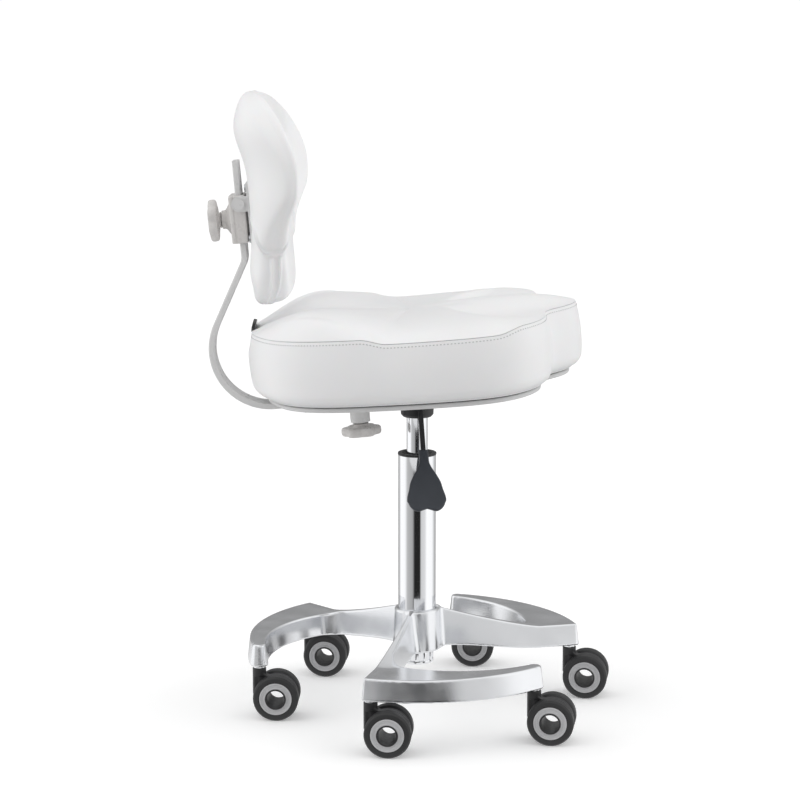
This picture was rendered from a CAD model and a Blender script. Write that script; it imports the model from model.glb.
import math

import bpy
import numpy as np
from mathutils import Matrix, Vector


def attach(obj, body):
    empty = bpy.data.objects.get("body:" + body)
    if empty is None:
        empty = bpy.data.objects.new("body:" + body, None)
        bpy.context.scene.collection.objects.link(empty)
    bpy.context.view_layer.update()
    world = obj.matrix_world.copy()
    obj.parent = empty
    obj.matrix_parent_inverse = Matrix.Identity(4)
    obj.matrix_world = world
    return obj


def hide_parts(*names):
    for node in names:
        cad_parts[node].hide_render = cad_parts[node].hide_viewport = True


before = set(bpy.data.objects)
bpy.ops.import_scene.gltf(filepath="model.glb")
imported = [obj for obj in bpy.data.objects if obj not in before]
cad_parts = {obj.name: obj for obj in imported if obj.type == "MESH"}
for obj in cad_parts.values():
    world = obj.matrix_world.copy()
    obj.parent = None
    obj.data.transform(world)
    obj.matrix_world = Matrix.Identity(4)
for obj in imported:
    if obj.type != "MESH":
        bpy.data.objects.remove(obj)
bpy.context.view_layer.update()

MM = 0.001
SEAT_Z = 438.0
TILT = math.radians(5.1)
SEAT_FRAME = Matrix.Translation((0, 0, SEAT_Z)) @ Matrix.Rotation(-TILT, 4, "Y")
ROW_FRAME = Matrix.Identity(4)
CASTERS = 6
LEG_DIR = 14.0
STEM_CIRCLE_R = 215.0


# ------------------------------------------------------------------ mesh tools ----
def piece(name, verts, faces, material, body, place=ROW_FRAME, sharp=40.0, slot=None, replaces=()):
    """A closed mesh given in millimetres, stood at its place and riding on a body."""
    mesh = bpy.data.meshes.new(name)
    mesh.from_pydata([tuple(v) for v in verts], [], [tuple(f) for f in faces])
    mesh.transform(Matrix.Scale(MM, 4) @ place)
    mesh.validate()
    mesh.update()
    obj = bpy.data.objects.new(name, mesh)
    bpy.context.scene.collection.objects.link(obj)
    mesh.materials.append(material)
    shade(mesh, sharp)
    finish_piece(obj, body, replaces)


def finish_piece(obj, body, replaces=()):
    """Rides the piece on its body and records its slot and the nodes it stands for."""
    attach(obj, body)
    if replaces:
        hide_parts(*replaces)


def shade(mesh, sharp):
    """Smooth shading, with edges sharper than an angle in degrees kept sharp."""
    mesh.polygons.foreach_set("use_smooth", [True] * len(mesh.polygons))
    if sharp < 180:
        mesh.set_sharp_from_angle(angle=math.radians(sharp))
    mesh.update()


def joined(parts):
    """One vertex list and one face list from several."""
    verts, faces = [], []
    for v, f in parts:
        base = len(verts)
        verts.extend(tuple(p) for p in v)
        faces.extend(tuple(i + base for i in face) for face in f)
    return verts, faces


def moved(part, matrix):
    """A part's vertices carried by a matrix."""
    verts, faces = part
    return [tuple(matrix @ Vector(v)) for v in verts], faces


def rounded(points, radii, steps=5):
    """A closed outline with each corner turned into an arc of its own radius."""
    out = []
    n = len(points)
    radii = radii if hasattr(radii, "__len__") else [radii] * n
    for i, radius in enumerate(radii):
        p = Vector(points[i])
        before = Vector(points[i - 1]) - p
        after = Vector(points[(i + 1) % n]) - p
        angle = before.angle(after)
        if radius <= 0 or angle > math.pi - 0.01:
            out.append(tuple(p))
            continue
        cut = min(radius / math.tan(angle / 2), 0.49 * before.length, 0.49 * after.length)
        a, b = p + before.normalized() * cut, p + after.normalized() * cut
        for k in range(steps + 1):
            t = k / steps
            out.append(tuple(a * (1 - t) ** 2 + p * 2 * t * (1 - t) + b * t ** 2))
    return out


def outward(verts, faces):
    """The same part with its faces turned so that its volume is positive."""
    v = np.array(verts, float)
    volume = sum(np.dot(v[f[0]], np.cross(v[a], v[b])) for f in faces for a, b in zip(f[1:], f[2:]))
    return verts, faces if volume > 0 else [tuple(reversed(f)) for f in faces]


def lathe(profile, n=128):
    """A closed solid: an outline of (radius, height) points turned about Z. A radius of 0 is on the axis."""
    verts, rows = [], []
    for r, z in profile:
        if r < 1e-6:
            rows.append([len(verts)] * n)
            verts.append((0.0, 0.0, z))
        else:
            rows.append([len(verts) + i for i in range(n)])
            turns = [2 * math.pi * i / n for i in range(n)]
            verts.extend((r * math.cos(t), r * math.sin(t), z) for t in turns)
    faces = []
    for a, b in zip(rows, rows[1:] + rows[:1]):
        for i in range(n):
            corners = [a[i], a[(i + 1) % n], b[(i + 1) % n], b[i]]
            corners = [c for k, c in enumerate(corners) if c != corners[k - 1]]
            if len(set(corners)) > 2:
                faces.append(corners)
    return outward(verts, faces)


def skin(rings):
    """A closed skin through a stack of rings with the same number of points."""
    n = len(rings[0])
    verts = [tuple(p) for ring in rings for p in ring]
    faces = []
    for k in range(len(rings) - 1):
        for i in range(n):
            a, b = k * n + i, k * n + (i + 1) % n
            faces.append((a, b, b + n, a + n))
    faces.append(tuple(range(n - 1, -1, -1)))
    faces.append(tuple((len(rings) - 1) * n + i for i in range(n)))
    return outward(verts, faces)


def inset(outline, distance):
    """A dense closed outline, counter-clockwise, moved inwards."""
    p = np.array(outline, float)
    ahead, behind = np.roll(p, -1, 0), np.roll(p, 1, 0)
    along = ahead - behind
    along /= np.linalg.norm(along, axis=1)[:, None]
    return p + distance * np.stack([-along[:, 1], along[:, 0]], 1)


def slab(outline, z0, z1, edge):
    """A flat solid over a dense outline, with round edges."""
    low = [[(x, y, z0 + edge * (1 - math.cos(a))) for x, y in inset(outline, edge * (1 - math.sin(a)))]
           for a in np.linspace(0, math.pi / 2, 6)]
    high = [[(x, y, z1 - edge * (1 - math.cos(a))) for x, y in inset(outline, edge * (1 - math.sin(a)))]
            for a in np.linspace(math.pi / 2, 0, 6)]
    return skin(low + high)


def sweep(path, section):
    """A bar of a given section along a path in the XZ plane. The section is (across the bend, along Y)."""
    points = [Vector(p) for p in path]
    rings = []
    for i, p in enumerate(points):
        along = (points[min(i + 1, len(points) - 1)] - points[max(i - 1, 0)]).normalized()
        normal = Vector((-along.y, along.x))
        rings.append([(p.x + normal.x * s, y, p.y + normal.y * s) for s, y in section])
    return skin(rings)


def implicit(field, low, high, step):
    """A closed quad mesh of the surface where field(x, y, z) is 0, its vertices on that surface."""
    axes = [np.arange(a, b + step, step) for a, b in zip(low, high)]
    f = field(*np.meshgrid(*axes, indexing="ij", sparse=True)) + np.zeros([len(a) for a in axes])
    inside = f < 0
    size = np.array(f.shape) - 1
    corners = [(i, j, k) for i in (0, 1) for j in (0, 1) for k in (0, 1)]

    def corner(values, c):
        return values[c[0]:c[0] + size[0], c[1]:c[1] + size[1], c[2]:c[2] + size[2]]

    count = sum(corner(inside, c).astype(np.int8) for c in corners)
    cells = np.argwhere((count > 0) & (count < 8))
    index = np.full(tuple(size), -1)
    index[tuple(cells.T)] = np.arange(len(cells))
    total = np.zeros((len(cells), 3))
    hits = np.zeros(len(cells))
    for a in corners:
        for axis in range(3):
            if a[axis]:
                continue
            b = tuple(c + (axis == k) for k, c in enumerate(a))
            fa = f[tuple((cells + a).T)]
            fb = f[tuple((cells + b).T)]
            cross = (fa < 0) != (fb < 0)
            t = np.where(cross, fa / np.where(cross, fa - fb, 1), 0)
            point = np.array(a)[None, :] + t[:, None] * (np.array(b) - np.array(a))[None, :]
            total += point * cross[:, None]
            hits += cross
    verts = np.array(low) + (cells + total / hits[:, None]) * step
    for _ in range(4):
        h = 0.02
        value = field(*verts.T)
        slopes = [field(*(verts + h * e).T) - field(*(verts - h * e).T) for e in np.eye(3)]
        grad = np.stack(slopes, 1) / (2 * h)
        move = value[:, None] * grad / np.maximum((grad ** 2).sum(1), 0.05)[:, None]
        verts -= np.clip(move, -step / 3, step / 3)
    faces = []
    for axis in range(3):
        u, v = [k for k in range(3) if k != axis]
        if axis == 1:
            u, v = v, u
        lo = [slice(None)] * 3
        hi = [slice(None)] * 3
        lo[axis], hi[axis] = slice(0, -1), slice(1, None)
        a, b = inside[tuple(lo)], inside[tuple(hi)]
        for flip, crossing in ((False, a & ~b), (True, ~a & b)):
            nodes = np.argwhere(crossing)
            nodes = nodes[(nodes[:, u] > 0) & (nodes[:, v] > 0)]
            eu, ev = np.eye(3, dtype=int)[u], np.eye(3, dtype=int)[v]
            quad = [index[tuple((nodes - s).T)] for s in (0 * eu, eu, eu + ev, ev)]
            quad = np.stack(quad[::-1] if flip else quad, 1)
            faces.append(quad)
    return verts, np.concatenate(faces)


def both(a, b, r=0.0):
    """Field of the space inside both shapes, with the edge between them rounded to radius r."""
    if r == 0:
        return np.maximum(a, b)
    return np.minimum(-r, np.maximum(a, b)) + np.hypot(np.maximum(a + r, 0), np.maximum(b + r, 0))


def either(a, b, r=0.0):
    """Field of the space inside either shape, with a fillet of radius r where they meet."""
    if r == 0:
        return np.minimum(a, b)
    return np.maximum(r, np.minimum(a, b)) - np.hypot(np.maximum(r - a, 0), np.maximum(r - b, 0))


def bell(x, w):
    return np.exp(-(np.asarray(x, float) / w) ** 2)


def smooth(t):
    t = np.clip(t, 0, 1)
    return t * t * (3 - 2 * t)


# ------------------------------------------------------------------- materials ----
def material(name, color, rough, metal=0.0):
    """A node material, returned with a small toolbox of its tree, its shader and object coordinates."""
    mat = bpy.data.materials.new(name)
    mat.use_nodes = True
    mat.diffuse_color = (*color, 1)
    tree = mat.node_tree
    shader = tree.nodes["Principled BSDF"]
    shader.inputs["Base Color"].default_value = (*color, 1)
    shader.inputs["Roughness"].default_value = rough
    shader.inputs["Metallic"].default_value = metal
    coords = tree.nodes.new("ShaderNodeTexCoord").outputs["Object"]
    return mat, tree, shader, coords


def noise(tree, coords, scale, detail=3.0, stretch=None):
    """Fractal noise, scale per metre, stretched along an axis when asked."""
    if stretch:
        mapping = tree.nodes.new("ShaderNodeMapping")
        mapping.inputs["Scale"].default_value = stretch
        tree.links.new(coords, mapping.inputs["Vector"])
        coords = mapping.outputs["Vector"]
    node = tree.nodes.new("ShaderNodeTexNoise")
    node.inputs["Scale"].default_value = scale
    node.inputs["Detail"].default_value = detail
    tree.links.new(coords, node.inputs["Vector"])
    return node.outputs["Fac"]


def cells(tree, coords, scale, feature="DISTANCE_TO_EDGE"):
    node = tree.nodes.new("ShaderNodeTexVoronoi")
    node.feature = feature
    node.inputs["Scale"].default_value = scale
    tree.links.new(coords, node.inputs["Vector"])
    return node.outputs["Distance"]


def span(tree, value, low, high, from_low=0.3, from_high=0.7):
    """A value mapped from one range into another."""
    node = tree.nodes.new("ShaderNodeMapRange")
    for key, number in (("From Min", from_low), ("From Max", from_high), ("To Min", low), ("To Max", high)):
        node.inputs[key].default_value = number
    tree.links.new(value, node.inputs["Value"])
    return node.outputs["Result"]


def blend_color(tree, value, a, b):
    node = tree.nodes.new("ShaderNodeMix")
    node.data_type = "RGBA"
    node.inputs[6].default_value = (*a, 1)
    node.inputs[7].default_value = (*b, 1)
    tree.links.new(value, node.inputs[0])
    return node.outputs[2]


def times(tree, a, b):
    """Product of two colours."""
    node = tree.nodes.new("ShaderNodeMix")
    node.data_type = "RGBA"
    node.blend_type = "MULTIPLY"
    node.inputs["Factor"].default_value = 1.0
    tree.links.new(a, node.inputs[6])
    tree.links.new(b, node.inputs[7])
    return node.outputs[2]


def tone(tree, shader, value, low, high):
    """Base colour that drifts between two tones."""
    tree.links.new(blend_color(tree, value, low, high), shader.inputs["Base Color"])


def roughness(tree, shader, value, low, high):
    """Roughness that drifts between two values."""
    tree.links.new(span(tree, value, low, high), shader.inputs["Roughness"])


def bump(tree, shader, height, distance, strength=1.0):
    """Adds a bump layer over any that is already there."""
    node = tree.nodes.new("ShaderNodeBump")
    node.inputs["Distance"].default_value = distance
    node.inputs["Strength"].default_value = strength
    tree.links.new(height, node.inputs["Height"])
    socket = shader.inputs["Normal"]
    if socket.links:
        tree.links.new(socket.links[0].from_socket, node.inputs["Normal"])
    tree.links.new(node.outputs["Normal"], socket)


def leatherette():
    mat, tree, shader, coords = material("white_leatherette", (0.90, 0.90, 0.91), 0.42)
    cloud = noise(tree, coords, 9, 4)
    nearby = tree.nodes.new("ShaderNodeAmbientOcclusion")
    nearby.inputs["Distance"].default_value = 0.006
    nearby.samples = 6
    grime = span(tree, nearby.outputs["AO"], 0.0, 1.0, 0.35, 0.92)
    cover = blend_color(tree, cloud, (0.87, 0.87, 0.88), (0.93, 0.93, 0.93))
    seam_tone = blend_color(tree, grime, (0.50, 0.50, 0.51), (1.0, 1.0, 1.0))
    tree.links.new(times(tree, cover, seam_tone), shader.inputs["Base Color"])
    roughness(tree, shader, noise(tree, coords, 140, 4), 0.36, 0.50)
    shader.inputs["Coat Weight"].default_value = 0.12
    shader.inputs["Coat Roughness"].default_value = 0.35
    shader.inputs["Subsurface Weight"].default_value = 0.06
    shader.inputs["Subsurface Scale"].default_value = 0.004
    bump(tree, shader, noise(tree, coords, 26, 3), 0.0006, 0.5)
    bump(tree, shader, span(tree, cells(tree, coords, 900), 0, 1, 0.0, 0.35), 0.00012, 0.6)
    return mat


def thread():
    mat, tree, shader, coords = material("white_thread", (0.60, 0.60, 0.61), 0.6)
    bump(tree, shader, noise(tree, coords, 3000, 2), 0.0001)
    tone(tree, shader, noise(tree, coords, 300), (0.50, 0.50, 0.51), (0.62, 0.62, 0.62))
    return mat


def chrome():
    mat, tree, shader, coords = material("chrome", (0.86, 0.87, 0.89), 0.05, 1.0)
    fine = noise(tree, coords, 60, 4, (1, 1, 0.15))
    roughness(tree, shader, fine, 0.035, 0.085)
    bump(tree, shader, fine, 0.00002, 0.3)
    return mat


def polished_casting():
    mat, tree, shader, coords = material("polished_casting", (0.80, 0.81, 0.83), 0.2, 1.0)
    cloud = noise(tree, coords, 30, 4)
    fine = noise(tree, coords, 700, 3)
    roughness(tree, shader, cloud, 0.15, 0.24)
    tone(tree, shader, cloud, (0.74, 0.75, 0.77), (0.86, 0.87, 0.89))
    bump(tree, shader, cloud, 0.0002, 0.25)
    bump(tree, shader, fine, 0.00003, 0.35)
    return mat


def zinc_steel():
    mat, tree, shader, coords = material("zinc_steel", (0.60, 0.61, 0.63), 0.34, 1.0)
    brushed = noise(tree, coords, 90, 4, (1, 12, 1))
    roughness(tree, shader, brushed, 0.26, 0.46)
    bump(tree, shader, brushed, 0.00005, 0.5)
    return mat


def moulded(name, low, high, rough, grain=1500.0, depth=0.00006):
    """Moulded plastic with a fine spark-eroded texture and a slow drift of tone."""
    mat, tree, shader, coords = material(name, high, rough)
    tone(tree, shader, noise(tree, coords, 25, 4), low, high)
    roughness(tree, shader, noise(tree, coords, 200, 3), rough - 0.06, rough + 0.06)
    bump(tree, shader, noise(tree, coords, grain, 2), depth, 0.6)
    return mat


def tyre_rubber():
    mat, tree, shader, coords = material("tyre_rubber", (0.018, 0.018, 0.019), 0.5)
    scuff = noise(tree, coords, 45, 5)
    tone(tree, shader, scuff, (0.012, 0.012, 0.013), (0.030, 0.030, 0.031))
    roughness(tree, shader, scuff, 0.42, 0.62)
    bump(tree, shader, noise(tree, coords, 1200, 2), 0.00006, 0.5)
    return mat


def powder_coat(name, low, high, rough):
    """Powder-coated steel with a light orange peel."""
    mat, tree, shader, coords = material(name, high, rough)
    tone(tree, shader, noise(tree, coords, 18, 3), low, high)
    roughness(tree, shader, noise(tree, coords, 150, 3), rough - 0.05, rough + 0.06)
    bump(tree, shader, cells(tree, coords, 420, "SMOOTH_F1"), 0.00012, 0.35)
    return mat


def plywood():
    mat, tree, shader, coords = material("plywood", (0.62, 0.46, 0.28), 0.6)
    grain = noise(tree, coords, 14, 6, (1, 14, 60))
    tone(tree, shader, grain, (0.50, 0.35, 0.20), (0.72, 0.56, 0.36))
    bump(tree, shader, grain, 0.0002, 0.5)
    return mat


LEATHER = leatherette()
THREAD = thread()
CHROME = chrome()
CASTING = polished_casting()
STEEL = zinc_steel()
BLACK = moulded("black_nylon", (0.012, 0.012, 0.013), (0.026, 0.026, 0.028), 0.42)
SLATE = moulded("slate_plastic", (0.026, 0.031, 0.040), (0.042, 0.048, 0.060), 0.40, 900.0, 0.0001)
GREY = moulded("grey_nylon", (0.54, 0.54, 0.55), (0.62, 0.62, 0.63), 0.36)
WHITE = moulded("white_plastic", (0.66, 0.64, 0.625), (0.74, 0.72, 0.705), 0.30)
TRIM = moulded("white_pan", (0.62, 0.62, 0.62), (0.70, 0.70, 0.70), 0.35)
PAINT = powder_coat("white_paint", (0.71, 0.71, 0.71), (0.79, 0.785, 0.78), 0.30)
BLACK_PAINT = powder_coat("black_paint", (0.010, 0.010, 0.011), (0.022, 0.022, 0.024), 0.35)
GLOSS_BLACK = moulded("badge_black", (0.006, 0.006, 0.007), (0.012, 0.012, 0.013), 0.14)
RUBBER = tyre_rubber()
WOOD = plywood()


# ---------------------------------------------------------------- base casting ----
LEG_W = 20.0
RIM_R = 227.0
TIP_R = 12.0
CRESCENT_R = 153.0
LEG_FILLET_R = 22.0
TIP_BOTTOM, TIP_TOP, HUB_BOTTOM, HUB_TOP = 70.0, 99.0, 80.0, 136.0
HUB_R = 32.5
LEG_FLAT_X, LEG_RISE_X = 172.0, 34.0
DRAFT = 0.12
TIP_C = STEM_CIRCLE_R * np.array([math.cos(math.radians(60)), math.sin(math.radians(60))])
CRESCENT_DIR = math.radians(232.4)
CRESCENT_C = TIP_C + (CRESCENT_R + TIP_R) * np.array([math.cos(CRESCENT_DIR), math.sin(CRESCENT_DIR)])
TIP_CUT = math.radians(146.2)


def leg_field(a, b, z):
    """One sickle leg: a runs out along the straight part, b towards the crescent."""
    lift = DRAFT * (z - TIP_BOTTOM)
    half = LEG_W / 2
    hollow = both(np.hypot(a - CRESCENT_C[0], b - CRESCENT_C[1]) - CRESCENT_R, half - b, LEG_FILLET_R)
    plan = both(np.hypot(a, b) - RIM_R, -b - half, 6.0)
    cut = (a - TIP_C[0]) * math.cos(TIP_CUT) + (b - TIP_C[1]) * math.sin(TIP_CUT)
    plan = np.maximum(np.maximum(plan, -hollow), cut)
    plan = np.minimum(plan, np.hypot(a - TIP_C[0], b - TIP_C[1]) - TIP_R) + lift
    plan = np.maximum(plan, -a)
    rise = np.maximum(0, LEG_FLAT_X - a) / (LEG_FLAT_X - LEG_RISE_X)
    crest = (HUB_TOP - 3 - TIP_TOP) * rise ** 1.25 * (1 - smooth((b - 8) / 16))
    belly = TIP_BOTTOM + (HUB_BOTTOM + 2 - TIP_BOTTOM) * smooth(rise) * (1 - smooth((b - 8) / 16))
    leg = both(plan, (z - TIP_TOP - crest) * 0.96, 1.6)
    return both(leg, belly - z, 1.4)


def casting_field(x, y, z):
    legs = None
    for k in range(3):
        t = math.radians(LEG_DIR + 120 * k)
        a, b = x * math.cos(t) + y * math.sin(t), y * math.cos(t) - x * math.sin(t)
        leg = leg_field(a, b, z)
        legs = leg if legs is None else either(legs, leg, 9.0)
    ring = np.hypot(x, y)
    hub = both(ring - HUB_R + 0.05 * (z - HUB_BOTTOM), z - HUB_TOP, 2.5)
    hub = both(hub, HUB_BOTTOM - z, 2.0)
    return both(either(legs, hub, 7.0), 25.1 - ring, 1.0)


def base_casting():
    step = 1.5
    verts, faces = implicit(casting_field, (-232, -232, 64), (232, 232, 142), step)
    piece("casting", verts, faces, CASTING, "base", sharp=180, slot="polished_casting",
          replaces=["base_casting"])


# --------------------------------------------------------------------- casters ----
WHEEL_R, WHEEL_W, RING_W, TRAIL = 30.0, 17.5, 13.0, 23.0
TYRE_INNER_R, HOLE_R = 21.5, 11.7
SLEEVE_R = HOLE_R + 1.25
SWIVEL_Z = 67.0
BARREL_R = 9.0
STEM_R, COLLAR_R = 5.4, 8
WHEEL_Y0 = RING_W / 2 + 0.2
CASTER_DIRS = [-9, -6, -6, -2, -5, -9]


def housing_field(x, y, z):
    """Fork ring between the wheels with a shallow channel round it, the web and the stem barrel."""
    r = np.hypot(x - TRAIL, z - WHEEL_R)
    ring = both(r - 27.8, np.abs(y) - RING_W / 2, 1.0)
    stem = np.hypot(x, y)
    barrel = both(both(stem - BARREL_R, z - SWIVEL_Z, 0.8), 31 - z, 1.2)
    sides = both(np.abs(y) - RING_W / 2, z - 56)
    barrel = both(barrel, np.minimum(sides, 56 - z))
    web = both(both(np.maximum(x - 16, -x), np.abs(y) - RING_W / 2, 1.2), both(z - 62 + 0.5 * x, 30 - z, 2.0))
    body = either(either(ring, web, 2.0), barrel, 2.0)
    return both(body, HOLE_R + 0.6 - r, 0.4)


def wheel_rim():
    """Grey rim: a dished disc with a bead round its open bore and a step to the tyre."""
    w = WHEEL_W
    profile = [(SLEEVE_R + 0.1, 0.2), (TYRE_INNER_R - 0.1, 0.2), (TYRE_INNER_R - 0.1, w - 0.5),
               (TYRE_INNER_R - 1.6, w - 0.2), (TYRE_INNER_R - 2.4, w - 1.5), (SLEEVE_R + 3.0, w - 2.4),
               (SLEEVE_R + 2.2, w - 0.2), (SLEEVE_R + 0.1, w - 0.1)]
    return lathe(rounded(profile, [0, 0, 0.3, 0.6, 1.0, 1.0, 0.6, 0.4], 4), 96)


def wheel_tyre():
    """Black tyre with round shoulders, a fine tread groove and a bead where it grips the rim."""
    w, r, inner = WHEEL_W, WHEEL_R, TYRE_INNER_R
    profile = [(inner, 0.3), (r - 2.4, 0.3), (r, 2.8), (r, 5.6), (r - 0.7, 6.2), (r, 6.8), (r, w - 6.8),
               (r - 0.7, w - 6.2), (r, w - 5.6), (r, w - 2.8), (r - 2.4, w - 0.3), (inner + 1.2, w - 0.3),
               (inner + 0.8, w - 0.9), (inner, w - 0.6)]
    radii = [0, 1.6, 2.0, 0.2, 0.3, 0.2, 0.2, 0.3, 0.2, 2.0, 1.6, 0.3, 0.3, 0]
    return lathe(rounded(profile, radii, 4), 128)


def casters():
    housing = implicit(housing_field, (-12, -26, -1), (54, 26, 69), 0.9)
    rim, tyre = wheel_rim(), wheel_tyre()
    sleeve_half = WHEEL_Y0 + WHEEL_W + 0.8
    sleeve = lathe([(HOLE_R, -sleeve_half), (SLEEVE_R, -sleeve_half), (SLEEVE_R, sleeve_half),
                    (HOLE_R, sleeve_half)], 96)
    lip_r = SLEEVE_R + 0.9
    lip = lathe(rounded([(HOLE_R + 0.1, 0), (lip_r, 0), (lip_r, 0.9), (HOLE_R + 0.1, 0.9)], 0.3, 3), 96)
    pin = [(0, 60), (STEM_R, 60), (STEM_R, 67.1), (COLLAR_R, 67.1), (COLLAR_R, 70.1), (STEM_R, 70.1),
           (STEM_R, 88), (0, 88)]
    stem = lathe(rounded(pin, [0, 0, 0, 0.5, 0.5, 0, 0, 0], 3), 64)
    stems = []
    for i in range(CASTERS):
        angle = math.radians(LEG_DIR + 60 * i)
        at_stem = Matrix.Translation((STEM_CIRCLE_R * math.cos(angle), STEM_CIRCLE_R * math.sin(angle), 0))
        stems.append(moved(stem, at_stem))
        place = at_stem @ Matrix.Rotation(math.radians(CASTER_DIRS[i]), 4, "Z")
        name = f"caster_{i + 1}"
        lips = [moved(lip, wheel_place(s, WHEEL_Y0 + WHEEL_W + 0.1)) for s in (-1, 1)]
        sleeve_tube = moved(sleeve, wheel_place(1, 0))
        fork = joined([housing, sleeve_tube] + lips)
        piece(f"{name}_fork", *fork, BLACK, name, place, 50, "black_plastic", [f"{name}_housing"])
        for side, sign in (("near", -1), ("far", 1)):
            at_wheel = place @ wheel_place(sign, WHEEL_Y0)
            body = f"{name}_wheel_{side}"
            piece(f"{body}_rim", *rim, GREY, body, at_wheel, 35, "grey_plastic", [f"{name}_rim_{side}"])
            piece(f"{body}_tyre", *tyre, RUBBER, body, at_wheel, 35, "tyre", [f"{name}_tyre_{side}"])
    piece("caster_pins", *joined(stems), CHROME, "base", sharp=35, slot="chrome", replaces=["caster_stems"])


def wheel_place(side, y):
    """Carries a wheel turned about Z to the caster's axle, its open face outwards."""
    return Matrix.Translation((TRAIL, side * y, WHEEL_R)) @ Matrix.Rotation(-side * math.pi / 2, 4, "X")


# -------------------------------------------------------------------- gas lift ----
COLUMN_TOP, STAND_R, PRESSURE_R = 347.0, 25.0, 14.0
BUSH_R, BUSH_GRIP_R = 25.6, 23.4
BAND_LOW = COLUMN_TOP - 3
BUSH_LOW = COLUMN_TOP - 97


def gas_lift():
    tube = [(5.3, 62), (21, 62), (21, 79), (23.2, 80.5), (STAND_R, 136), (STAND_R, BAND_LOW),
            (23.6, BAND_LOW), (23.6, 140), (19.5, 78), (19.5, 66), (5.3, 66)]
    verts, faces = lathe(rounded(tube, [0, 0.6, 0.4, 0, 0, 0.5, 0.3, 0, 0, 0, 0], 3), 192)
    piece("lift_tube", verts, faces, CHROME, "base", sharp=30, slot="chrome")
    ring = lathe(rounded([(20.9, 61.5), (22.2, 61.5), (22.2, 66), (20.9, 66)], 0.4, 3), 96)
    rib = slab(rounded([(20.5, -2.4), (22.2, -2.4), (22.2, 2.4), (20.5, 2.4)], 0.4, 3), 65.5, 78.5, 0.3)
    ribs = []
    for k in range(12):
        turn = Matrix.Rotation(math.radians(30 * k), 4, "Z")
        ribs.append(moved(rib, turn))
    piece("lift_crown", *joined([ring] + ribs), CHROME, "base", sharp=35, slot="chrome",
          replaces=["stand_tube"])
    bore = PRESSURE_R + 0.1
    bush = [(bore, BUSH_LOW), (BUSH_GRIP_R, BUSH_LOW), (BUSH_GRIP_R, BAND_LOW), (BUSH_R, BAND_LOW),
            (BUSH_R, COLUMN_TOP), (20.5, COLUMN_TOP), (19.6, COLUMN_TOP - 3), (bore, COLUMN_TOP - 3)]
    solid = lathe(rounded(bush, [0, 0, 0, 0.4, 1.2, 1.0, 0.8, 0], 4), 160)
    piece("lift_bush", *solid, BLACK, "base", sharp=35, slot="black_plastic", replaces=["tube_bush"])
    rod = [(5.05, 160), (PRESSURE_R, 160), (PRESSURE_R, 408), (3.05, 408), (3.05, 398), (12.3, 398),
           (12.3, 172), (5.05, 172)]
    solid = lathe(rounded(rod, [0, 0.8, 0.8, 0, 0, 0, 0, 0], 3), 160)
    piece("lift_piston_tube", *solid, CHROME, "seat", sharp=30, slot="chrome", replaces=["pressure_tube"])
    cup = [(14.3, 395), (18.6, 395), (21.6, 398.5), (22, 409), (22, 427.5), (20.5, 427.5), (20.5, 409),
           (18.0, 401), (18.0, 397.4), (14.3, 397.4)]
    solid = lathe(rounded(cup, [0.4, 2.0, 2.0, 3, 0.5, 0.5, 0, 0, 0, 0.4], 4), 128)
    piece("lift_cover", *solid, BLACK, "seat", sharp=35, slot="black_plastic", replaces=["socket_cover"])


# ------------------------------------------------------------------ hand lever ----
LEVER_DIR, LEVER_SLOPE = math.radians(-83), math.radians(58.6)
PIVOT_R, PIVOT_Z = 27.0, 419.0
ARM_LEN = 104.0
PADDLE_START = ARM_LEN - 36
STRIP_HALF_W, STRIP_HALF_T = 3.2, 1.5
ALONG_LEVER = (Matrix.Rotation(LEVER_DIR, 4, "Z") @ Matrix.Translation((PIVOT_R, 0, PIVOT_Z))
               @ Matrix.Rotation(LEVER_SLOPE, 4, "Y"))


def paddle_field(x, y, z):
    """Pear-shaped paddle: a straight neck on the strip, then two round lobes with a dip between them."""
    y = np.abs(y)
    lobes = np.hypot(x - 68.5, y - 8.6) - 15.8
    flare = 6.2 + 13.5 * smooth((x - 14) / 34) + 4.4 * smooth((x - 38) / 30)
    body = np.maximum(np.maximum(y - flare, x - 69), -x)
    plan = either(lobes, body, 4.0)
    dip = np.hypot(x - 94.5, y) - 12.5
    plan = both(plan, -dip, 5.0)
    thick = 4.2 - 1.4 * smooth((x - 10) / 62)
    return both(plan, np.abs(z) - thick, 2.6)


def hand_lever():
    t, w = STRIP_HALF_T, STRIP_HALF_W
    section = rounded([(-t, -w), (t, -w), (t, w), (-t, w)], 0.6, 3)
    strip = skin([[(x, y, s) for s, y in section] for x in np.linspace(3, ARM_LEN - 0.5, 12)])
    hub = moved(lathe(rounded([(2.1, -w), (4.5, -w), (4.5, w), (2.1, w)], 0.4, 3), 48),
                Matrix.Rotation(math.pi / 2, 4, "X"))
    level = Matrix.Rotation(-LEVER_SLOPE, 4, "Y")
    finger = moved(slab(rounded([(-30, -w), (-1, -w), (-1, w), (-30, w)], 1.0, 3), -5.9, -2.95, 0.4), level)
    piece("lever_strip", *joined([strip, hub, finger]), BLACK_PAINT, "lever", ALONG_LEVER, 35, "black_paint",
          ["lever_arm"])
    paddle = implicit(paddle_field, (-2, -29, -6), (90, 29, 6), 0.7)
    place = ALONG_LEVER @ Matrix.Translation((PADDLE_START, 0, 0))
    piece("lever_handle", *paddle, SLATE, "lever", place, 180, "slate_plastic", ["lever_paddle"])


# ------------------------------------------------------------------------ seat ----
SEAT_R, EDGE_Z, THIGH_DROP = 216.0, 93.0, 7.0
BOTTOM_Z = 10.5
BADGE_LEN, BADGE_W = 54.0, 17.0
CUSHION_SWELL, PAD_SWELL = 3.0, 2.5
CLOTH_FRAMES = 20
AROUND = 288
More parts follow.
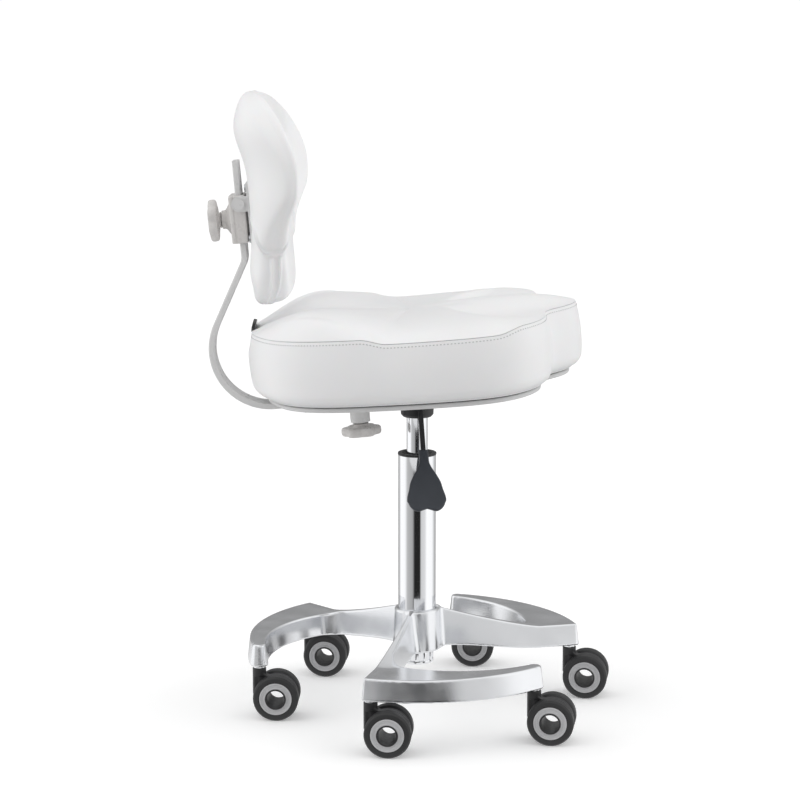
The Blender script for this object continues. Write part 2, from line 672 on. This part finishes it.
# Each swelling or notch of the outline: its angle from straight ahead, its reach outwards and its width.
OUTLINE_FEATURES = [(0, 4, 12), (25, -22, 12), (60, 27, 20), (137, 9, 18), (103, -3, 12)]


def from_front(a):
    """Angle away from straight ahead, the same on both sides."""
    return np.abs((np.asarray(a) + 180) % 360 - 180)


def outline_r(a):
    """Radius of the outline at an angle: a round rear, broad shoulders and a nose between two notches."""
    d = from_front(a)
    return SEAT_R + sum(reach * bell(d - at, width) for at, reach, width in OUTLINE_FEATURES)


def outline(inwards, n=AROUND):
    a = 360.0 * np.arange(n) / n
    r = outline_r(a) - inwards
    return np.stack([r * np.cos(np.radians(a)), r * np.sin(np.radians(a))], 1)


def edge_h(x):
    """Height of the stitched edge, which is lower along each thigh."""
    return EDGE_Z - THIGH_DROP * smooth((x + 65) / 35) * (1 - smooth((x - 105) / 35))


def badge_dent():
    """How far the top edge is drawn in behind the badge."""
    return 7.0 * bell(from_front(360.0 * np.arange(AROUND) / AROUND) - 180, 9)


def relief(x, y):
    """Height of the top over its edge: two rear mounds, a front ridge and a hollow for each thigh."""
    y = np.abs(y)
    mounds = 19 * bell(x + 120, 65) * (1 - 0.6 * bell(y, 40))
    ridge = 5 * bell(y, 38) * smooth((x - 10) / 60)
    hollow = -12 * smooth((x - 15 - 0.5 * y) / 30) * (1 - bell(y, 38)) * bell(y - 80, 75)
    return 8 + mounds + ridge + hollow


def creases(x, y):
    """Folds that fan out from the badge between the two mounds."""
    dx = x + SEAT_R - 10
    r = np.hypot(dx, y)
    turn = np.degrees(np.arctan2(np.abs(y), dx))
    fan = bell(turn - 11, 5) + 0.9 * bell(turn - 31, 6) + 0.7 * bell(turn - 52, 7)
    return -1.7 * fan * smooth(r / 18) * (1 - smooth((r - 40) / 70))


def seat_ring(inwards, z):
    return [(x, y, z) for x, y in outline(inwards)]


def crown_ring(k):
    """Ring of the top. A soft roll runs just inside the stitched edge from the badge to each thigh."""
    edge = outline(3.2 + badge_dent())
    q = edge * (1 - 0.985 * k * k)
    x, y = q[:, 0], q[:, 1]
    share = np.clip((180 - from_front(360.0 * np.arange(AROUND) / AROUND)) / 82.5, 0, 1)
    roll = np.sin(math.pi * share)
    rise = smooth((1.6 + 0.9 * roll) * k)
    fold = -3.2 * bell(k - 0.45 * np.sqrt(roll), 0.09) * smooth(roll * 4)
    z = edge_h(edge[:, 0]) * (1 - k) + EDGE_Z * k + relief(x, y) * rise
    z = z + (fold + creases(x, y)) * smooth(k * 12)
    return [(u, v, h) for u, v, h in zip(x, y, z)]


def wall_ring(inwards, t, drop=0.0):
    """Ring of the side wall at a share of the way from its bottom up to the stitched edge."""
    q = outline(inwards + badge_dent() * smooth((t - 0.6) / 0.4))
    return [(x, y, BOTTOM_Z + (h - BOTTOM_Z) * t - drop) for (x, y), h in zip(q, edge_h(q[:, 0]))]


def wall_inset(t):
    """The wall swells a little and turns in towards the pan with a round bottom corner."""
    turn = max(0.0, 1 - t / 0.17)
    return 3.0 - 4.0 * math.sin(math.pi * min(1.0, t / 0.98)) ** 0.8 + 11 * (1 - math.sqrt(1 - turn * turn))


def seat_cushion():
    low = [(16.6, 19.4), (16.6, 8.6), (15.4, 7.9), (14.2, 8.6)]
    rings = [seat_ring(i, z) for i, z in low]
    up = np.concatenate([np.linspace(0, 0.17, 8), np.linspace(0.2, 0.98, 22)])
    rings += [wall_ring(wall_inset(t), t) for t in up]
    groove = len(rings)
    rings += [wall_ring(3.3, 1, 0.9), wall_ring(4.5, 1, 0.4), wall_ring(3.7, 1, -0.1)]
    rings += [crown_ring(k) for k in np.concatenate([np.linspace(0.035, 0.6, 40), np.linspace(0.62, 1, 20)])]
    held = list(range(AROUND * 6)) + list(range(AROUND * (groove - 1), AROUND * (groove + 4)))
    puffed("cushion", *skin(rings), held, CUSHION_SWELL, "seat", ["seat_cushion"])


def puffed(name, verts, faces, held, cap, body, replaces):
    """A leatherette cushion: its cover swells as cloth under pressure, held along its seams."""
    verts = np.array(verts, float)
    mesh = bpy.data.meshes.new(name + "_cloth")
    mesh.from_pydata([tuple(v * MM) for v in verts], [], faces)
    cover = bpy.data.objects.new(name + "_cloth", mesh)
    bpy.context.scene.collection.objects.link(cover)
    cover.vertex_groups.new(name="held").add(held, 1.0, "REPLACE")
    cloth = cover.modifiers.new("cloth", "CLOTH")
    cloth.settings.use_pressure = True
    cloth.settings.uniform_pressure_force = 4.0
    cloth.settings.vertex_group_mass = "held"
    cloth.settings.quality = 4
    cloth.settings.tension_stiffness = cloth.settings.compression_stiffness = 30
    cloth.settings.effector_weights.gravity = 0
    cloth.point_cache.frame_end = CLOTH_FRAMES
    for number in range(1, CLOTH_FRAMES + 1):
        bpy.context.scene.frame_set(number)
    shown = cover.evaluated_get(bpy.context.evaluated_depsgraph_get()).data
    swollen = np.array([tuple(v.co) for v in shown.vertices]) / MM
    bpy.context.scene.frame_set(1)
    bpy.data.objects.remove(cover)
    bpy.data.meshes.remove(mesh)
    move = swollen - verts
    length = np.linalg.norm(move, axis=1, keepdims=True)
    verts = verts + move * np.minimum(1, cap / np.maximum(length, 1e-9))
    cover = [tuple(v) for v in verts]
    piece(name, cover, faces, LEATHER, body, SEAT_FRAME, 180, "white_leatherette", replaces)


def stitches(path, length, pitch, radius):
    """Short round stitches laid end to end along a path."""
    p = np.array(path, float)
    seg = np.linalg.norm(np.diff(p, axis=0), axis=1)
    at = np.concatenate([[0], np.cumsum(seg)])
    parts = []
    for s in np.arange(pitch / 2, at[-1] - pitch / 2, pitch):
        ends = [np.array([np.interp(s + d, at, p[:, k]) for k in range(3)])
                for d in (-length / 2, length / 2)]
        along = Vector(ends[1] - ends[0]).normalized()
        turn = along.to_track_quat("Z", "Y").to_matrix().to_4x4()
        centre = Matrix.Translation(Vector((ends[0] + ends[1]) / 2))
        parts.append(moved(STITCH, centre @ turn @ Matrix.Diagonal((radius, radius, length / 2, 1))))
    return joined(parts)


STITCH = lathe([(0, -1), (0.6, -0.85), (1, -0.45), (1, 0.45), (0.6, 0.85), (0, 1)], 8)


def closed(points):
    return np.concatenate([points, points[:1]])


def seat_details():
    edge = outline(2.4 + badge_dent())
    path = closed(np.column_stack([edge, edge_h(edge[:, 0]) - 4.5]))
    thread_line = stitches(path, 2.6, 4.4, 0.6)
    piece("seam_stitching", *thread_line, THREAD, "seat", SEAT_FRAME, 180, "white_leatherette")
    pan = slab(outline(18.5), 0.05, 7.0, 2.6)
    piece("pan", *pan, TRIM, "seat", SEAT_FRAME, 35, "white_plastic", ["seat_trim"])
    place = (SEAT_FRAME @ Matrix.Translation((-SEAT_R + 10.0, 0, EDGE_Z + 3.5))
             @ Matrix.Rotation(math.radians(-74), 4, "Y") @ Matrix.Rotation(math.pi / 2, 4, "Z"))
    plate = slab(lens(BADGE_LEN, BADGE_W, 24), -2.0, 2.4, 0.8)
    piece("badge_plate", *plate, GLOSS_BLACK, "seat", place, 35, "black_badge", ["rear_badge"])


def lens(length, width, n):
    """Outline of a pointed oval."""
    r = (length ** 2 + width ** 2) / (4 * width)
    half = math.asin(length / 2 / r)
    up = [(r * math.sin(t), r * math.cos(t) - (r - width / 2)) for t in np.linspace(half, -half, n)[:-1]]
    return up + [(-x, -y) for x, y in up]


# ---------------------------------------------------------- back bar and knobs ----
BAR_W, BAR_T, BEND_R, LEAN = 38.0, 8.0, 76.0, math.radians(29)
BAR_Z, BAR_X, BAR_TOP = -10.0, -209.0, 314.0
BEND_C = (-188.0, BAR_Z + BEND_R)
LEAN_R = 24.0
KNOB_X, KNOB_Z = -79.0, 238.5
DEPTH_STUD, HEIGHT_STUD = 29.4, 20.0
SHOE_GAP, SHOE_T = 0.05, 2.02
BRACKET_Z = (208.0, 270.0)


def bar_path():
    lean_dir = math.pi - LEAN
    end = (BEND_C[0] + BEND_R * math.cos(lean_dir), BEND_C[1] + BEND_R * math.sin(lean_dir))
    rise = BAR_X - LEAN_R * (1 - math.cos(LEAN)) - end[0]
    z = end[1] + rise / math.tan(LEAN) + LEAN_R * math.sin(LEAN)
    path = [(x, BAR_Z) for x in np.linspace(-60, -180, 12)]
    path += [(BEND_C[0] + BEND_R * math.cos(t), BEND_C[1] + BEND_R * math.sin(t))
             for t in np.linspace(1.5 * math.pi, lean_dir, 40)]
    path += [(BAR_X - LEAN_R + LEAN_R * math.cos(t), z + LEAN_R * math.sin(t))
             for t in np.linspace(-LEAN, 0, 10)]
    path += [(BAR_X, h) for h in np.linspace(z + 8, BAR_TOP, 10)]
    return path


def back_bar():
    half_t, half_w = BAR_T / 2, BAR_W / 2
    section = rounded([(-half_t, -half_w), (half_t, -half_w), (half_t, half_w), (-half_t, half_w)], 2.4, 6)
    piece("bar", *sweep(bar_path(), section), PAINT, "bar", SEAT_FRAME, 35, "white_paint", ["back_bar"])


def knob(lobes_r, stud, thick=12.0):
    """A six-lobed hand knob with a dished face, a waisted neck and its stud, whose tip is at the origin."""
    n = 180
    turn = 2 * math.pi * np.arange(n) / n
    wave = 0.5 + 0.5 * np.cos(6 * turn)
    lobed = lobes_r - 4.6 * (1 - wave ** 0.75)
    neck = 11.0
    top = -stud - 4
    rings = []
    rim = [(neck / lobes_r, 0.0), (0.80, 0.0), (0.93, 0.7), (0.985, 2.4), (1.0, 5.0), (1.0, thick - 5.0),
           (0.985, thick - 2.4), (0.93, thick - 0.7), (0.80, thick), (0.55, thick - 1.2), (0.30, thick - 2.0),
           (0.05, thick - 2.2)]
    for scale, drop in rim:
        mix = smooth((scale - 0.45) / 0.45)
        r = lobed * scale * mix + lobes_r * scale * 0.86 * (1 - mix)
        rings.append([(a * math.cos(t), a * math.sin(t), top - drop) for a, t in zip(r, turn)])
    disc = skin(rings)
    stem = [(0, 0), (4, 0), (4, -stud), (neck, -stud), (neck * 0.86, -stud - 2), (neck, -stud - 5),
            (0, -stud - 5)]
    shaft = lathe(rounded(stem, [0, 0.6, 0, 0.8, 1.5, 0, 0], 4), 64)
    return joined([disc, shaft])


def knobs():
    """Both knobs. Each stud ends on its pressure shoe, which lies against the bar."""
    shoe = BAR_T / 2 + SHOE_GAP + SHOE_T
    below = Matrix.Translation((KNOB_X, 0, BAR_Z - shoe))
    behind = Matrix.Translation((BAR_X - shoe, 0, KNOB_Z)) @ Matrix.Rotation(math.pi / 2, 4, "Y")
    pair = ("depth", 26.5, DEPTH_STUD, below), ("height", 27.5, HEIGHT_STUD, behind)
    for name, lobes_r, stud, place in pair:
        piece(f"{name}_handwheel", *knob(lobes_r, stud), WHITE, f"{name}_knob", SEAT_FRAME @ place, 35,
              "white_plastic", [f"{name}_knob"])


def bracket_field(x, y, z):
    """Sliding bracket: a ribbed sleeve round the bar with a flared boss for the knob."""
    x = x - BAR_X
    half_h = (BRACKET_Z[1] - BRACKET_Z[0]) / 2
    h = np.abs(z - (BRACKET_Z[0] + half_h)) - half_h
    side = np.abs(y)
    sleeve = both(both(np.maximum(x - 8.4, -12.9 - x), side - 27.9, 3.0), h, 1.6)
    groove = both(np.abs(x + 6.5) - 1.0, 26.9 - side)
    sleeve = both(sleeve, -groove, 0.6)
    ring = np.hypot(y, z - KNOB_Z)
    flare = 12.2 + 10.0 * smooth((x + 21) / 9)
    boss = both(both(ring - flare, -25 - x, 1.0), x + 8)
    slot = both(np.abs(x) - 4.15, side - 19.15)
    bore = both(ring - 4.1, x + 4)
    return both(both(either(sleeve, boss, 2.5), -slot, 0.5), -bore)


def height_bracket():
    mesh = implicit(bracket_field, (-237, -32, 204), (-197, 32, 274), 0.8)
    piece("bracket_body", *mesh, WHITE, "bracket", SEAT_FRAME, 50, "white_plastic", ["height_bracket"])


# -------------------------------------------------------------------- backrest ----
PAD_BACK_X, PAD_Z0, PAD_H, PAD_T = -194.0, 124.0, 277.0, 47.0
PAD_HALF, PAD_LOW_HALF = 146.0, 88.0
PAD_SAMPLES = 2880


def pad_half(t):
    low = PAD_LOW_HALF * np.sqrt(max(0, 1 - ((0.2 - min(t, 0.2)) / 0.2) ** 2))
    grow = (PAD_HALF - PAD_LOW_HALF) * smooth((t - 0.23) / 0.32)
    top = math.sqrt(max(0, 1 - (max(0, t - 0.55) / 0.45) ** 2.4))
    return max(10.0, float((low + grow) * top))


def pad_thick(t):
    """Thickness, with a round lower and upper end."""
    end = min(t / 0.08, (1 - t) / 0.16, 1.0)
    return PAD_T * (0.2 + 0.8 * math.sqrt(max(0.0, 1 - (1 - end) ** 2)))


def wrap(y):
    return 0.00035 * y * y + 0.95e-7 * y ** 4


def pad_seams(side, z, y):
    """Depth of the sewn grooves and folds: a curved waist seam, two lower seams and a puckered front seam."""
    waist_z = 197 + 60 * side ** 4
    below = smooth((waist_z - 3 - z) / 5)
    above = smooth((z - waist_z - 3) / 5)
    run = (waist_z - z) / 66
    depth = 3.0 * bell(z - waist_z, 2.2) + 1.0 * bell(z - waist_z, 13) * smooth((side + 1) * 4)
    lower = bell(side + 0.15 + 0.10 * run, 0.07) + bell(side - 0.30 + 0.30 * run, 0.07)
    depth = depth + 2.6 * below * lower
    pucker = 1 + 0.7 * np.sin(z / 5.2 + 2.0 * np.sin(z / 17)) * bell(side - 0.8, 0.3)
    depth = depth + above * (1.3 * bell(side - 0.93, 0.05) * pucker + 4.0 * bell(side - 0.55, 0.25))
    folds = np.sin(9 * side + 0.02 * z) + 0.6 * np.sin(17 * side - 0.03 * z + 1)
    return depth + 0.35 * folds * bell(z - 225, 32) * bell(side - 0.1, 0.45)


def pad_ring(t, n):
    """One level ring of the pad, closer spaced round its edges, and whether a seam holds each point."""
    w, th, z = pad_half(t), pad_thick(t), PAD_Z0 + PAD_H * t
    mid = PAD_BACK_X + PAD_T / 2 - 12 * max(0.0, 1 - t / 0.12) ** 2 - 8 * max(0.0, (t - 0.84) / 0.16) ** 2
    a = 2 * np.pi * np.arange(PAD_SAMPLES) / PAD_SAMPLES
    y = w * np.sin(a)
    side = np.sign(np.cos(a)) * np.abs(np.cos(a)) ** 0.42
    bulge = 11 * bell(t - 0.16, 0.15) + 13 * bell(t - 0.84, 0.14)
    rear = -bulge * np.maximum(0, -side) * (1 - bell(y, 26))
    waist = 7 * bell(t - 0.5, 0.15) * (y / w) ** 2
    x = mid + wrap(y) * (1 - 0.15 * (1 + side)) + side * th / 2 + rear - waist
    p = np.stack([x, y], 1)
    along = np.roll(p, -1, 0) - np.roll(p, 1, 0)
    out = np.stack([-along[:, 1], along[:, 0]], 1)
    out = out / np.maximum(np.linalg.norm(along, axis=1, keepdims=True), 1e-9)
    fade = smooth(4 * t / 0.12) * smooth((1 - t) / 0.05)
    shown = np.maximum(smooth((np.abs(y) - 0.35 * w) / (0.3 * w)), smooth(2 * side))
    seam = pad_seams(side, z, y) * fade * shown
    p = p - out * seam[:, None]
    held = np.maximum(seam > 1.2, (side < 0) & (np.abs(y) < 60)) * 1.0
    step = np.linalg.norm(np.roll(p, -1, 0) - p, axis=1) * (1 + 3.5 * (1 - side ** 8))
    at = np.concatenate([[0], np.cumsum(step)])
    even = np.linspace(0, at[-1], n, endpoint=False)
    columns = (p[:, 0], p[:, 1], held)
    u, v, grip = [np.interp(even, at, np.append(value, value[0])) for value in columns]
    return [(a, b, z) for a, b in zip(u, v)], list(grip > 0.3)


def back_cushion():
    n, levels = ((300, 170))
    spread = [i / levels for i in range(levels + 1)]
    rings, grips = zip(*[pad_ring(0.5 * i + 0.25 - 0.25 * math.cos(math.pi * i), n) for i in spread])
    held = [i for i, grip in enumerate(sum(grips, [])) if grip]
    puffed("back_pad", *skin(rings), held, PAD_SWELL, "back", ["back_cushion"])


# ------------------------------------------------------------------ CAD pieces ----
def dress_cad():
    """Materials of the CAD nodes that stay as they are."""
    looks = [
        (STEEL, ["thrust_bearing", "valve_pin", "seat_plate", "lever_pin", "seat_screws", "depth_shoe",
                 "height_shoe", "back_screws"]),
        (PAINT, ["bar_channel", "tilt_studs", "tilt_plate"]),
        (CHROME, ["piston_rod"]),
        (BLACK_PAINT, ["seat_board"]),
        (WOOD, ["back_board"]),
    ]
    for look, nodes in looks:
        for node in nodes:
            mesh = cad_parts[node].data
            mesh.materials.clear()
            mesh.materials.append(look)


# ----------------------------------------------------------------------- stage ----
# The floor's half side in metres, and the distances over which it turns from white to a mirror of the walls.
FLOOR_HALF = 14.0
MIRROR_SPAN = (0.25, 0.45)


def stage_piece(name, verts, faces, mat):
    mesh = bpy.data.meshes.new(name)
    mesh.from_pydata(verts, [], faces)
    mesh.materials.append(mat)
    obj = bpy.data.objects.new(name, mesh)
    bpy.context.scene.collection.objects.link(obj)


def floor():
    """White floor. Shiny surfaces see it white near the stool and see the walls in it further off."""
    mat, tree, shader, coords = material("pale_floor", (0.94, 0.94, 0.94), 0.7)
    path = tree.nodes.new("ShaderNodeLightPath").outputs
    pale = blend_color(tree, noise(tree, coords, 2, 2), (0.93, 0.93, 0.93), (0.95, 0.95, 0.95))
    matt = blend_color(tree, path["Is Diffuse Ray"], (1, 1, 1), (0.45, 0.45, 0.45))
    tree.links.new(times(tree, pale, matt), shader.inputs["Base Color"])
    shader.inputs["Emission Color"].default_value = (1, 1, 1, 1)
    shader.inputs["Emission Strength"].default_value = 0.20
    xyz = tree.nodes.new("ShaderNodeSeparateXYZ")
    tree.links.new(tree.nodes.new("ShaderNodeNewGeometry").outputs["Position"], xyz.inputs[0])
    x, y, z = xyz.outputs
    square = maths(tree, "ADD", maths(tree, "MULTIPLY", x, x), maths(tree, "MULTIPLY", y, y))
    far = span(tree, maths(tree, "SQRT", square), 0.0, 1.0, *MIRROR_SPAN)
    near = maths(tree, "SUBTRACT", 1.0, far)
    wall_light = maths(tree, "MULTIPLY", walls(tree, x, y), far)
    level = maths(tree, "ADD", wall_light, maths(tree, "MULTIPLY", near, 0.9))
    mirrored = tree.nodes.new("ShaderNodeEmission")
    tree.links.new(level, mirrored.inputs["Color"])
    mix = tree.nodes.new("ShaderNodeMixShader")
    tree.links.new(path["Is Glossy Ray"], mix.inputs["Fac"])
    tree.links.new(shader.outputs[0], mix.inputs[1])
    tree.links.new(mirrored.outputs[0], mix.inputs[2])
    tree.links.new(mix.outputs[0], tree.nodes["Material Output"].inputs["Surface"])
    r = FLOOR_HALF
    stage_piece("floor", [(-r, -r, 0), (r, -r, 0), (r, r, 0), (-r, r, 0)], [(0, 1, 2, 3)], mat)


def area_light(name, place, target, width, height, watts):
    data = bpy.data.lights.new(name, "AREA")
    data.shape = "RECTANGLE"
    data.size, data.size_y = width, height
    data.energy = watts
    lamp = bpy.data.objects.new(name, data)
    lamp.location = place
    lamp.rotation_euler = (Vector(target) - Vector(place)).to_track_quat("-Z", "Y").to_euler()
    bpy.context.scene.collection.objects.link(lamp)


# Brightness of the studio walls round the object as shiny surfaces see them, by direction in degrees.
# 0 is behind the camera, where a dark screen hangs, and positive angles are to the right.
WALLS = [(-180, 0.30), (-142, 0.42), (-115, 1.15), (-78, 1.10), (-60, 0.55), (-28, 0.42), (-15, 0.02),
         (17, 0.02), (25, 0.70), (48, 0.80), (62, 1.15), (104, 1.10), (130, 0.55), (180, 0.30)]


def maths(tree, operation, a, b=None):
    node = tree.nodes.new("ShaderNodeMath")
    node.operation = operation
    for socket, value in zip(node.inputs, (a, b)):
        if isinstance(value, (int, float)):
            socket.default_value = value
        elif value is not None:
            tree.links.new(value, socket)
    return node.outputs[0]


def walls(tree, x, y):
    """Wall brightness in the direction of x and y."""
    azimuth = maths(tree, "ARCTAN2", x, maths(tree, "MULTIPLY", y, -1.0))
    ramp = tree.nodes.new("ShaderNodeValToRGB")
    turn = maths(tree, "ADD", maths(tree, "MULTIPLY", azimuth, 0.5 / math.pi), 0.5)
    tree.links.new(turn, ramp.inputs["Fac"])
    stops = ramp.color_ramp.elements
    for stop, (angle, level) in zip(stops, (WALLS[0], WALLS[-1])):
        stop.color = (level, level, level, 1)
    for angle, level in WALLS[1:-1]:
        stops.new(angle / 360 + 0.5).color = (level, level, level, 1)
    return ramp.outputs["Color"]


def sky():
    """White surround. Matt surfaces see soft walls, shiny ones see light panels and the dark screen."""
    world = bpy.data.worlds.new("studio")
    bpy.context.scene.world = world
    world.use_nodes = True
    tree = world.node_tree
    background = tree.nodes["Background"]
    coords = tree.nodes.new("ShaderNodeTexCoord")
    xyz = tree.nodes.new("ShaderNodeSeparateXYZ")
    tree.links.new(coords.outputs["Generated"], xyz.inputs[0])
    x, y, z = xyz.outputs
    up = maths(tree, "MAXIMUM", z, 0.0)
    ceiling = span(tree, z, 0.0, 1.0, 0.30, 0.80)
    below = maths(tree, "SUBTRACT", 1.0, ceiling)
    front = span(tree, y, 0.8, 0.0, -0.75, -0.35)
    band = maths(tree, "MAXIMUM", walls(tree, x, y), front)
    shiny = maths(tree, "ADD", maths(tree, "MULTIPLY", band, below), maths(tree, "MULTIPLY", ceiling, 1.05))
    sides = maths(tree, "MULTIPLY", maths(tree, "MULTIPLY", x, x), 1.85)
    matt = maths(tree, "ADD", maths(tree, "ADD", sides, 0.10), maths(tree, "MULTIPLY", up, 0.61))
    path = tree.nodes.new("ShaderNodeLightPath").outputs
    glossy = path["Is Glossy Ray"]
    level = maths(tree, "ADD", maths(tree, "MULTIPLY", shiny, glossy),
                  maths(tree, "MULTIPLY", matt, maths(tree, "SUBTRACT", 1.0, glossy)))
    level = maths(tree, "MAXIMUM", level, maths(tree, "MULTIPLY", path["Is Camera Ray"], 1.02))
    tree.links.new(level, background.inputs["Color"])
    background.inputs["Strength"].default_value = 1.0


def camera():
    data = bpy.data.cameras.new("camera")
    data.lens, data.sensor_width = 105.24, 36.0
    data.clip_end = 50
    cam = bpy.data.objects.new("camera", data)
    cam.location = (-0.016, -3.0436, 0.9329)
    cam.rotation_euler = (math.radians(90 - 9.626), 0, math.radians(0.126))
    bpy.context.scene.collection.objects.link(cam)
    bpy.context.scene.camera = cam


def studio():
    floor()
    sky()
    middle = (0, 0, 0.4)
    area_light("top", (-0.4, -0.6, 3.0), middle, 2.4, 2.4, 3.5)
    camera()
    bpy.context.scene.view_settings.view_transform = "Standard"


base_casting()
casters()
gas_lift()
hand_lever()
seat_cushion()
seat_details()
back_bar()
knobs()
height_bracket()
back_cushion()
dress_cad()
studio()
